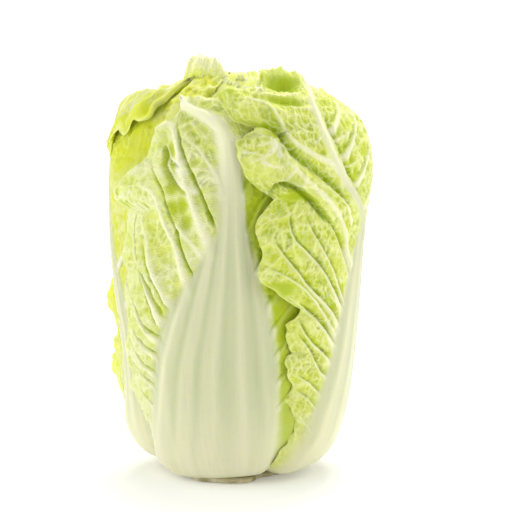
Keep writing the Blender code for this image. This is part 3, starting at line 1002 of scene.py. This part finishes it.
# Beside the upper stalk a narrow wedge of blade lies deep, in a strip of painted shade without a net.
beyond_stalk = front.degrees - front.stalk_right
wedge = ease(beyond_stalk, -1.5, 0.5) * ease(front.share, 0.48, 0.53) * ease(0.66 - front.share, 0, 0.03)
front.stalk *= 1 - wedge
front.lift -= 0.0022 * wedge
painted_shade_strip = np.maximum(ease(beyond_stalk, -0.5, 3) * ease(0.64 - front.share, 0, 0.06), wedge)
front.painted_shade = np.maximum(front.painted_shade, painted_shade_strip)
front.vein *= 1 - 0.9 * painted_shade_strip
front.net += 2 * painted_shade_strip
front.settle()
piece = leaf_piece("outer_leaf_front_look", front, stalk_thickness=0.0060, material=outer_finish)
fix_leaf(piece, "outer_leaf_front")

# ---------------------------------------------------------------------------------------------------------
# Right leaf: an outer leaf whose stalk lies on the right side of the head. Its left margin laps over the
# front leaf in lobes that bulge, overhang each other and turn under, with small teeth lower down.

right = Sheet(
    across=256,
    up=288,
    left=[
        (0.003, 22), (0.05, 22), (0.09, 22), (0.106, 23), (0.131, 26), (0.158, 31), (0.184, 34),
        (0.205, 31), (0.225, 29), (0.236, 25), (0.246, 26), (0.268, 27), (0.288, 23), (0.32, 22.5),
        (0.33, 26), (0.363, 21), (0.401, 26), (0.412, 24), (0.428, 20), (0.446, 16), (0.462, 10),
        (0.485, 9), (0.509, 10), (0.542, 8), (0.574, 10), (0.600, 15), (0.610, 12), (0.622, 8), (0.647, 3),
        (0.668, 1), (0.69, 0), (0.705, 1), (0.715, 5), (0.722, 8), (0.729, 4), (0.737, -1), (0.75, -3),
        (0.765, -6), (0.785, -9), (0.80, -10), (0.88, -10),
    ],
    right=[(0.003, 109), (0.10, 112), (0.30, 128), (0.50, 136), (0.70, 134), (0.86, 118)],
    stalk_left=[
        (0.003, 22), (0.05, 24), (0.09, 28), (0.13, 33), (0.16, 38), (0.20, 40), (0.25, 44), (0.31, 48),
        (0.38, 52), (0.44, 57), (0.50, 64), (0.54, 69), (0.58, 63.5), (0.62, 52), (0.66, 44.5),
        (0.70, 39.5), (0.74, 36.5), (0.78, 37), (0.82, 43), (0.88, 50),
    ],
    stalk_right=[
        (0.003, 109), (0.10, 107), (0.20, 104), (0.30, 101), (0.40, 96), (0.46, 91), (0.50, 86), (0.54, 79),
        (0.58, 70), (0.62, 57.5), (0.66, 49), (0.70, 43), (0.74, 40), (0.78, 40), (0.82, 46), (0.88, 53),
    ],
    top=[
        (-1, 0.780), (-0.88, 0.795), (-0.76, 0.802), (-0.67, 0.808), (-0.61, 0.825), (-0.56, 0.852),
        (-0.5, 0.862), (-0.4, 0.860), (-0.2, 0.856), (0.2, 0.85), (0.6, 0.84), (0.8, 0.83), (1, 0.79),
    ],
    size=1.0,
    root=76,
    seed=202,
    tooth=0.0012,
    low_tooth=2.7,
)
RIGHT_VEINS = [
    # places along the vein, width, ridge, crease
    (
        [
            (76, 0.50), (72, 0.553), (63, 0.589), (50, 0.635), (43, 0.687), (38, 0.731), (38, 0.777),
            (44, 0.82),
        ],
        0.0025, 0.0040, 0.0,
    ),
    (
        [
            (52, 0.63), (48, 0.647), (43, 0.662), (36, 0.673), (29, 0.688), (24, 0.701), (20, 0.722),
            (17, 0.747), (13, 0.767), (6, 0.776), (-2, 0.780),
        ],
        0.0018, 0.0032, 0.0,
    ),
    (
        [
            (62, 0.46), (55, 0.502), (54, 0.529), (50, 0.560), (43, 0.591), (36, 0.616), (29, 0.639),
            (24, 0.657), (18, 0.675), (16, 0.694),
        ],
        0.0021, 0.0032, 0.0,
    ),
    ([(60, 0.55), (54, 0.584), (44, 0.615), (36, 0.645), (28, 0.678)], 0.0009, 0.0016, 0.0),
    (
        [
            (57, 0.37), (50, 0.412), (44, 0.448), (38, 0.480), (30, 0.510), (24, 0.536), (22, 0.565),
            (22, 0.587),
        ],
        0.0015, 0.0024, 0.0026,
    ),
    (
        [(60, 0.37), (54, 0.411), (50, 0.438), (46, 0.470), (40, 0.507), (33, 0.546), (29, 0.575)],
        0.0014, 0.0022, 0.0020,
    ),
    ([(62, 0.41), (58, 0.455), (52, 0.50), (46, 0.54), (40, 0.57)], 0.0014, 0.0022, 0.0026),
    (
        [(54, 0.345), (48, 0.383), (40, 0.416), (32, 0.445), (26, 0.475), (18, 0.512), (14, 0.541)],
        0.0016, 0.0024, 0.0022,
    ),
    (
        [(50, 0.345), (44, 0.378), (36, 0.418), (28, 0.448), (18, 0.473), (10, 0.487)],
        0.0011, 0.0018, 0.0010,
    ),
    ([(53, 0.31), (48, 0.334), (43, 0.359), (36, 0.387), (26, 0.419)], 0.0018, 0.0024, 0.0026),
    ([(51, 0.28), (47, 0.300), (43, 0.317), (34, 0.347), (26, 0.394)], 0.0014, 0.0020, 0.0020),
    ([(50, 0.25), (46, 0.271), (41, 0.288), (34, 0.329), (26, 0.365)], 0.0012, 0.0018, 0.0018),
    ([(47, 0.225), (42, 0.245), (36, 0.266), (27, 0.287)], 0.0010, 0.0015, 0.0014),
    ([(46, 0.19), (42, 0.213), (36, 0.236), (28, 0.257)], 0.0009, 0.0014, 0.0012),
    ([(43, 0.16), (39, 0.18), (33, 0.205)], 0.0008, 0.0012, 0.0010),
]
RIGHT_FOLDS = [
    # places along the fold, width, depth, lip, lean, the side that the lip is on
    (
        [
            (60, 0.565), (55, 0.591), (48, 0.614), (40, 0.637), (33, 0.656), (26, 0.674), (20, 0.699),
            (16, 0.722), (10, 0.729), (2, 0.722),
        ],
        0.0024, 0.0048, 0.0018, 0.0010, 1,
    ),
    (
        [(12, 0.600), (15, 0.626), (20, 0.630), (26, 0.619), (32, 0.600), (38, 0.577), (46, 0.545)],
        0.0022, 0.0048, 0.0034, 0.0034, 1,
    ),
    (
        [(70, 0.585), (62, 0.615), (53, 0.655), (48, 0.69), (43, 0.73), (43, 0.775)],
        0.0013, 0.0034, 0.0010, 0.0, -1,
    ),
]
RIGHT_BACK_VEINS = [
    # places along the vein, width, ridge
    ([(44, 0.72), (56, 0.76), (74, 0.81)], 0.0016, 0.0022),
    ([(50, 0.67), (64, 0.72), (84, 0.78)], 0.0017, 0.0024),
    ([(61, 0.62), (76, 0.68), (96, 0.75)], 0.0018, 0.0024),
    ([(72, 0.575), (88, 0.64), (106, 0.71)], 0.0018, 0.0024),
    ([(84, 0.52), (98, 0.58), (116, 0.65)], 0.0019, 0.0024),
    ([(92, 0.455), (104, 0.51), (120, 0.58)], 0.0019, 0.0024),
    ([(98, 0.38), (108, 0.44), (122, 0.51)], 0.0018, 0.0022),
    ([(101, 0.31), (111, 0.36), (122, 0.42)], 0.0016, 0.0020),
    ([(103, 0.25), (112, 0.29), (121, 0.33)], 0.0014, 0.0016),
]
RIGHT_BRANCHES = [
    # A star in the second lobe, a curved vein under the hollow at the top, and a few beside the stalk.
    [(16, 0.694), (12, 0.698), (7, 0.694), (2, 0.697)],
    [(16, 0.694), (13, 0.706), (10, 0.710), (8, 0.718)],
    [(16, 0.694), (13, 0.682), (9, 0.674), (4, 0.665)],
    [(16, 0.694), (20, 0.693), (25, 0.685)],
    [(24, 0.657), (20, 0.645), (14, 0.635)],
    [(16, 0.694), (12, 0.684), (10, 0.668), (11, 0.652)],
    [(16, 0.694), (17, 0.680), (16, 0.666), (18, 0.652)],
    [(10, 0.668), (15, 0.661), (20, 0.666), (24, 0.662)],
    [(3, 0.684), (7, 0.682), (11, 0.677)],
    [(16, 0.680), (20, 0.677), (24, 0.672)],
    [(29, 0.639), (27, 0.628), (21, 0.638)],
    [(10, 0.806), (14, 0.795), (19, 0.788), (26, 0.791), (33, 0.802), (41, 0.816)],
    [(38, 0.760), (30, 0.762), (22, 0.770)],
    [(40, 0.715), (34, 0.700), (30, 0.705)],
    [(50, 0.65), (58, 0.66), (66, 0.67)],
    [(45, 0.70), (52, 0.71), (60, 0.72)],
]
RIGHT_SWELLS = [
    # degrees, share, reach in degrees and in share, lift
    # The lobes bulge, one below the other.
    (9, 0.665, 10, 0.040, 0.0048),
    (12, 0.76, 12, 0.030, 0.0030),
    (14, 0.52, 9, 0.05, 0.0022),
    # The side of the leaf swells at its shoulder and is flatter above and below it.
    (88, 0.64, 26, 0.09, 0.0050),
    (76, 0.84, 24, 0.07, -0.0095),
    (95, 0.35, 32, 0.17, -0.0024),
    # A hollow under the top margin, and a corner of the third lobe that turns out.
    (27, 0.826, 11, 0.019, -0.0085),
    (17, 0.444, 6, 0.014, 0.0026),
]
RIGHT_SHADE_PATCHES = [
    # Patches of painted shade, a stronger green: degrees, share, reach in degrees and in share, strength.
    (27, 0.606, 9, 0.007, 0.9),
    (18, 0.444, 8, 0.013, 0.9),
    (29, 0.835, 14, 0.019, 1),
    (21, 0.778, 12, 0.008, 1),
    (-4, 0.792, 3, 0.006, 1),
]
RIGHT_CELLS = [(48, 0.718), (52, 0.692), (56, 0.667), (60, 0.645), (64, 0.625)]
right.raise_stalk(proud=0.0030, flutes=4, flute_depth=0.00008)
right.draw_in(depth=0.0040, top=0.12, fade=0.09)
right.draw_in(depth=0.0044, top=0.34, fade=0.14, reach=0.012)
for line, width, ridge, crease in RIGHT_VEINS:
    right.add_vein(line, width, ridge, crease * 0.75, crease * 0.4, crease * 0.2, side=-1)
for line, width, depth, lip, lean, side in RIGHT_FOLDS:
    right.add_fold(line, width, depth, lip, lean, side)
for line, width, ridge in RIGHT_BACK_VEINS:
    right.add_vein(line, width, ridge, crease=0.0012, lip=0.0006)
for swell in RIGHT_SWELLS:
    right.swell(*swell)
for patch in RIGHT_SHADE_PATCHES:
    right.paint_shade(*patch)
right.hole(RIGHT_CELLS, depth=0.0016, reach_degrees=2.2, reach_share=0.011)
# The top margin turns up, and the blade below it is hollow.
right.lift += 0.0034 * np.exp(-right.to_top / 0.009) * ease(60 - right.degrees, 0, 14)
right.swell(23, 0.773, 11, 0.008, -0.0030)
right.pucker(sink=0.0014, net_rise=0.0006, cell=0.0048, least=0.45)
for line in RIGHT_BRANCHES:
    right.add_vein(line, width=0.0007, ridge=0.0016)
right.ruffle(height=0.0022, wave=0.012, reach=0.006)
right.settle()
piece = leaf_piece("outer_leaf_right_look", right, stalk_thickness=0.0060, material=right_finish)
fix_leaf(piece, "outer_leaf_right")

# ---------------------------------------------------------------------------------------------------------
# Left leaf: its stalk shows as a cream band beside the front leaf, its lower margin stands off as a thin
# jagged frill, and its top is rolled outwards and down like a hood.


def side_veins(sheet, seed, first, last, count, rise, width, ridge, crease, lip, lean, hands=(-1, 1)):
    """Side veins that leave the stalk on both sides, one above the other, and climb to the margins."""
    rng = np.random.default_rng(seed)
    for hand in hands:
        border = sheet.stalk_left if hand < 0 else sheet.stalk_right
        margin = sheet.left if hand < 0 else sheet.right
        middle = border.shape[1] // 2
        for start in np.linspace(first, last, count) + rng.uniform(-0.008, 0.008, count):
            base = np.interp(start, sheet.share[:, middle], border[:, middle]) - hand * 2
            climb = rise * rng.uniform(0.85, 1.15)
            edge = np.interp(start + climb, sheet.share[:, middle], margin[:, middle])
            span = edge - base
            line = [
                (base, start - 0.01),
                (base + 0.22 * span, start + 0.28 * climb),
                (base + 0.52 * span, start + 0.60 * climb),
                (base + 0.80 * span, start + 0.84 * climb),
                (base + 0.97 * span, start + climb),
            ]
            scale = rng.uniform(0.85, 1.1) * (0.6 + 0.4 * ease(start, 0.15, 0.35))
            sheet.add_vein(
                line, width * scale, ridge * scale, crease * scale, lip * scale, lean * scale, side=-hand
            )


left = Sheet(
    across=200,
    up=224,
    left=[
        (0.003, -112), (0.10, -106), (0.16, -96), (0.20, -91), (0.30, -92), (0.40, -96), (0.48, -108),
        (0.55, -124), (0.65, -138), (0.75, -138), (0.88, -125),
    ],
    right=[
        (0.003, -53), (0.10, -50), (0.20, -44), (0.30, -36), (0.50, -24), (0.65, -18), (0.75, -16),
        (0.93, -8),
    ],
    stalk_left=[
        (0.003, -112), (0.10, -104), (0.16, -90), (0.20, -81), (0.27, -75), (0.35, -73), (0.45, -80),
        (0.55, -92), (0.70, -98), (0.88, -96),
    ],
    stalk_right=[
        (0.003, -53), (0.10, -54), (0.20, -56), (0.30, -58), (0.36, -61), (0.45, -70), (0.55, -86),
        (0.70, -93), (0.88, -92),
    ],
    top=[
        (-1, 0.74), (-0.6, 0.76), (-0.3, 0.79), (-0.12, 0.905), (-0.05, 0.925), (0.03, 0.915),
        (0.10, 0.935), (0.17, 0.915), (0.24, 0.930), (0.30, 0.910), (0.36, 0.928), (0.44, 0.912),
        (0.52, 0.925), (0.60, 0.905), (0.68, 0.915), (0.76, 0.895), (0.85, 0.885), (0.93, 0.87), (1, 0.86),
    ],
    size=1.0,
    root=-80,
    seed=303,
    tooth=0.0019,
)
LEFT_VEINS = {
    "first": 0.20,
    "rise": 0.085,
    "width": 0.0017,
    "ridge": 0.0022,
    "crease": 0.0016,
    "lip": 0.0014,
    "lean": 0.0006,
}
# Short ribs that run up the hood: degrees, length as a share.
HOOD_RIBS = [(-93, 0.05), (-84, 0.07), (-74, 0.08), (-66, 0.08), (-52, 0.08), (-43, 0.07)]
HOOD_RIB_FOOT = 0.80
HOOD_LINE = [(-110, 0.775), (-92, 0.785), (-76, 0.803), (-60, 0.815), (-45, 0.828), (-30, 0.85), (0, 0.86)]
HOOD_ROLL_RADIUS = 0.0018
HOOD_ROLL_DEGREES = 182
left.raise_stalk(proud=0.0030, flutes=4, flute_depth=0.00014)
side_veins(left, 31, last=0.78, count=11, hands=(-1,), **LEFT_VEINS)
side_veins(left, 32, last=0.46, count=5, hands=(1,), **LEFT_VEINS)
for degrees, length in HOOD_RIBS:
    halfway = (degrees - 2, HOOD_RIB_FOOT + 0.5 * length)
    line = [(degrees, HOOD_RIB_FOOT), halfway, (degrees - 1, HOOD_RIB_FOOT + length)]
    left.add_vein(line, width=0.0013, ridge=0.0020)
# Painted shade makes the blade a stronger green between the ribs of the hood.
left.paint_shade(-57, 0.885, 5, 0.045, 1)
left.paint_shade(-79, 0.880, 4, 0.035, 0.8)
left.pucker(sink=0.0012, net_rise=0.0003, cell=0.0052, quiet=0.3)
left.ruffle(height=0.0030, wave=0.014, reach=0.009)
# The frill lifts off the head, and painted shade makes it greener near its margin.
frill = ease(left.share, 0.18, 0.26) * ease(0.46 - left.share, 0, 0.05)
left.lift += 0.0045 * frill * np.exp(-left.to_left / 0.007)
left.painted_shade = np.maximum(left.painted_shade, 0.5 * frill * np.exp(-left.to_left / 0.02))
# The hood: the blade sinks a little below the top, and what is above the hood line rolls over outwards.
hood = ease(left.degrees, -124, -114) * ease(-32 - left.degrees, 0, 10)
left.lift -= 0.0034 * ease(left.share, 0.62, 0.76) * hood
hood_line = curve_at(HOOD_LINE, left.degrees)
left.lift += 0.0022 * soft_noise(left.x, left.y, 0.0085, 78) * hood * ease(0.05 - left.to_top, 0, 0.01)
rolled = (left.tip - hood_line) * BARREL_LENGTH * hood
left.roll(left.to_top, 0, 1, rolled, HOOD_ROLL_RADIUS, HOOD_ROLL_DEGREES)
# The stalk bulges above its foot. The blade below the hood lies in, in its shade, and that shade is painted
# on.
left.swell(-88, 0.16, 30, 0.07, 0.0045)
left.draw_in(depth=0.0070, top=0.12, fade=0.09)
left.swell(-52, 0.68, 16, 0.07, -0.0022)
left.paint_shade(-62, 0.70, 30, 0.075, 0.85)
left.settle()
piece = leaf_piece("outer_leaf_left_look", left, stalk_thickness=0.0055, material=thin_finish)
fix_leaf(piece, "outer_leaf_left")

# ---------------------------------------------------------------------------------------------------------
# Back leaves: two more outer leaves close the back of the head. The left one lies further out and laps over
# the right one.

BACK_LEAVES = [
    # name, stalk at foot and tip, degrees to each edge at the foot and at the widest, top, size, seed
    ("outer_leaf_back_right", 147, 138, (42, 31), (42, 58), 0.870, 0.955, 404),
    ("outer_leaf_back_left", 214, 210, (33, 58), (62, 66), 0.890, 1.0, 505),
]
BACK_CROWNS = {
    "outer_leaf_back_left": [
        (-1, 0.79), (-0.75, 0.85), (-0.35, 0.87), (0, 0.86), (0.3, 0.82), (0.55, 0.77), (0.8, 0.73),
        (1, 0.70),
    ],
    "outer_leaf_back_right": [
        (-1, 0.72), (-0.75, 0.76), (-0.35, 0.81), (0, 0.85), (0.35, 0.87), (0.75, 0.84), (1, 0.78),
    ],
}
BACK_GRID = (160, 184)
BACK_VEINS = {
    "first": 0.20,
    "last": 0.80,
    "count": 11,
    "rise": 0.085,
    "width": 0.0019,
    "ridge": 0.0026,
    "crease": 0.0022,
    "lip": 0.0018,
    "lean": 0.0010,
}
LEAF_SHARES = (0.003, 0.08, 0.15, 0.22, 0.30, 0.40, 0.50, 0.60, 0.70, 0.80, 0.92)


def plain_sheet(grid, stalk, tip, foot, reach, crown, size, seed, tooth, narrow=0.16):
    """A leaf of the usual shape: a broad foot that is all stalk, and a blade that spreads above it."""
    edges = {"left": [], "right": [], "stalk_left": [], "stalk_right": []}
    for share in LEAF_SHARES:
        middle = stalk + (tip - stalk) * ease(share, 0.45, 0.85)
        spread = ease(share, 0.14, 0.54)
        thin = 1 - (1 - narrow) * ease(share, 0.05, 0.62)
        for hand, name, i in ((-1, "left", 0), (1, "right", 1)):
            blade = foot[i] + (reach[i] - foot[i]) * spread - 8 * ease(share, 0.72, 0.92)
            edges[name].append((share, middle + hand * blade))
            edges["stalk_" + name].append((share, middle + hand * foot[i] * thin))
    return Sheet(*grid, top=crown, size=size, root=stalk, seed=seed, tooth=tooth, **edges)


for name, stalk, tip, foot, reach, top, size, seed in BACK_LEAVES:
    sheet = plain_sheet(BACK_GRID, stalk, tip, foot, reach, BACK_CROWNS[name], size, seed, 0.0014)
    sheet.raise_stalk(proud=0.0034, flutes=5, flute_depth=0.00014)
    side_veins(sheet, seed, **BACK_VEINS)
    sheet.pucker(sink=0.0014, net_rise=0.0005, cell=0.0052)
    sheet.ruffle(height=0.0030, wave=0.013, reach=0.008)
    # Beside the left leaf the stalk bulges, so that no gap shows at the foot.
    sheet.swell(268, 0.16, 30, 0.07, 0.0040)
    sheet.settle()
    piece = leaf_piece(name + "_look", sheet, stalk_thickness=0.0055, material=outer_finish)
    fix_leaf(piece, name)

# ---------------------------------------------------------------------------------------------------------
# Inner leaves: five rings, each smaller and more tightly wrapped than the one outside it. They show in the
# gaps between the outer leaves and as the tips round the crown.

RINGS = [
    # name, count, size, first angle, stalk thickness, top, grid across and up, slot
    ("wrapper_leaf", 5, 0.868, 34, 0.0045, 0.900, 96, 112, "wrapper_leaf"),
    ("inner_leaf", 5, 0.741, 2, 0.0040, 0.945, 64, 72, "heart_leaf"),
    ("heart_leaf", 5, 0.614, 38, 0.0036, 0.970, 56, 64, "heart_leaf"),
    ("bud_leaf", 4, 0.470, 20, 0.0032, 0.985, 48, 56, "heart_leaf"),
    ("centre_leaf", 3, 0.300, 56, 0.0026, 0.990, 36, 44, "heart_leaf"),
]
# One wrapper leaf stands up behind the hood in a rounded tip with fine upright pleats.
STANDING_LEAF = "wrapper_leaf_5"
STANDING_GRID = (168, 184)
STANDING_RISE = 0.0142
STANDING_CRUMPLE = 0.0014
STANDING_CROWN = [
    (-1, 0.74), (-0.75, 0.76), (-0.4, 0.77), (-0.18, 0.78), (-0.12, 0.81), (-0.07, 0.858), (-0.02, 0.884),
    (0.05, 0.896), (0.13, 0.899), (0.22, 0.899), (0.31, 0.896), (0.40, 0.890), (0.49, 0.882), (0.56, 0.871),
    (0.63, 0.858), (0.70, 0.858), (0.78, 0.869), (0.88, 0.864), (1, 0.84),
]
RING_FOOT = 0.46
RING_REACH = 0.90
MOST_REACH = 74
STALK_SWAY = 6
CROWN_RISE = 0.017
RING_VEINS = {
    "first": 0.22,
    "last": 0.80,
    "count": 8,
    "rise": 0.09,
    "width": 0.0018,
    "ridge": 0.0016,
    "crease": 0.0010,
    "lip": 0.0008,
    "lean": 0.0,
}
wrapper_finish = leaf_finish(
    "wrapper_leaf",
    {"Blade Light": (0.92, 0.96, 0.38), "Blade Green": (0.78, 0.88, 0.09)},
    depth=0.0018,
)
# The standing leaf is painted lighter than the wrappers: painted light against the shade its own crumples
# cast.
standing_lightened_finish = leaf_finish(
    "standing_leaf_painted_light",
    {
        "Blade Light": (0.95, 0.98, 0.60),
        "Blade Green": (0.87, 0.94, 0.26),
        "Shade And Fleck Green": (0.68, 0.80, 0.01),
    },
    depth=0.0022,
)
heart_finish = leaf_finish(
    "heart_leaf",
    {
        "Blade Light": (0.84, 0.85, 0.42),
        "Blade Green": (0.74, 0.77, 0.22),
        "Shade And Fleck Green": (0.52, 0.60, 0.06),
        "Vein Pale": (0.87, 0.87, 0.56),
    },
)


def ring_crown(top):
    """The rounded top of an inner leaf."""
    half = [(0.35, top), (0.75, top - 0.035), (1, top - 0.10)]
    return [(-side, share) for side, share in reversed(half)] + [(0, top + 0.004)] + half


for ring, count, size, first, thickness, top, across_count, up_count, slot in RINGS:
    turn = 360 / count
    foot, reach = (turn * RING_FOOT,) * 2, (min(turn * RING_REACH, MOST_REACH),) * 2
    for number in range(count):
        name = f"{ring}_{number + 1}"
        stalk = first + number * turn
        tip = stalk - STALK_SWAY
        seed = int(size * 1000) + number * 17
        standing = name == STANDING_LEAF
        if standing:
            finish = standing_lightened_finish
            sheet = plain_sheet(
                STANDING_GRID, stalk, tip, foot, reach, STANDING_CROWN, size, seed, 0.0012, narrow=0.05
            )
        else:
            finish = wrapper_finish if slot == "wrapper_leaf" else heart_finish
            grid = (across_count, up_count)
            sheet = plain_sheet(grid, stalk, tip, foot, reach, ring_crown(top), size, seed, 0.0012)
        sheet.raise_stalk(proud=0.0018, flutes=4, flute_depth=0.0003)
        if not standing:
            side_veins(sheet, seed, **RING_VEINS)
        sheet.pucker(sink=0.0014 if standing else 0.0011, net_rise=0.0004, cell=0.0060)
        sheet.ruffle(height=0.0010 if standing else 0.0024, wave=0.014, reach=0.008)
        sheet.lift += CROWN_RISE * (1 - size) * ease(sheet.share, 0.80, 0.95)
        if standing:
            rising = ease(sheet.share, 0.84, 0.895)
            crumple = soft_noise(sheet.x, sheet.y, 0.0085, 71)
            crumple = crumple + 0.5 * soft_noise(sheet.x, sheet.y, 0.004, 72)
            sheet.lift += STANDING_RISE * rising + STANDING_CRUMPLE * rising * crumple
            sheet.stalk *= 1 - ease(sheet.share, 0.76, 0.84)
        sheet.settle()
        piece = leaf_piece(name + "_look", sheet, thickness, finish)
        fix_leaf(piece, name)
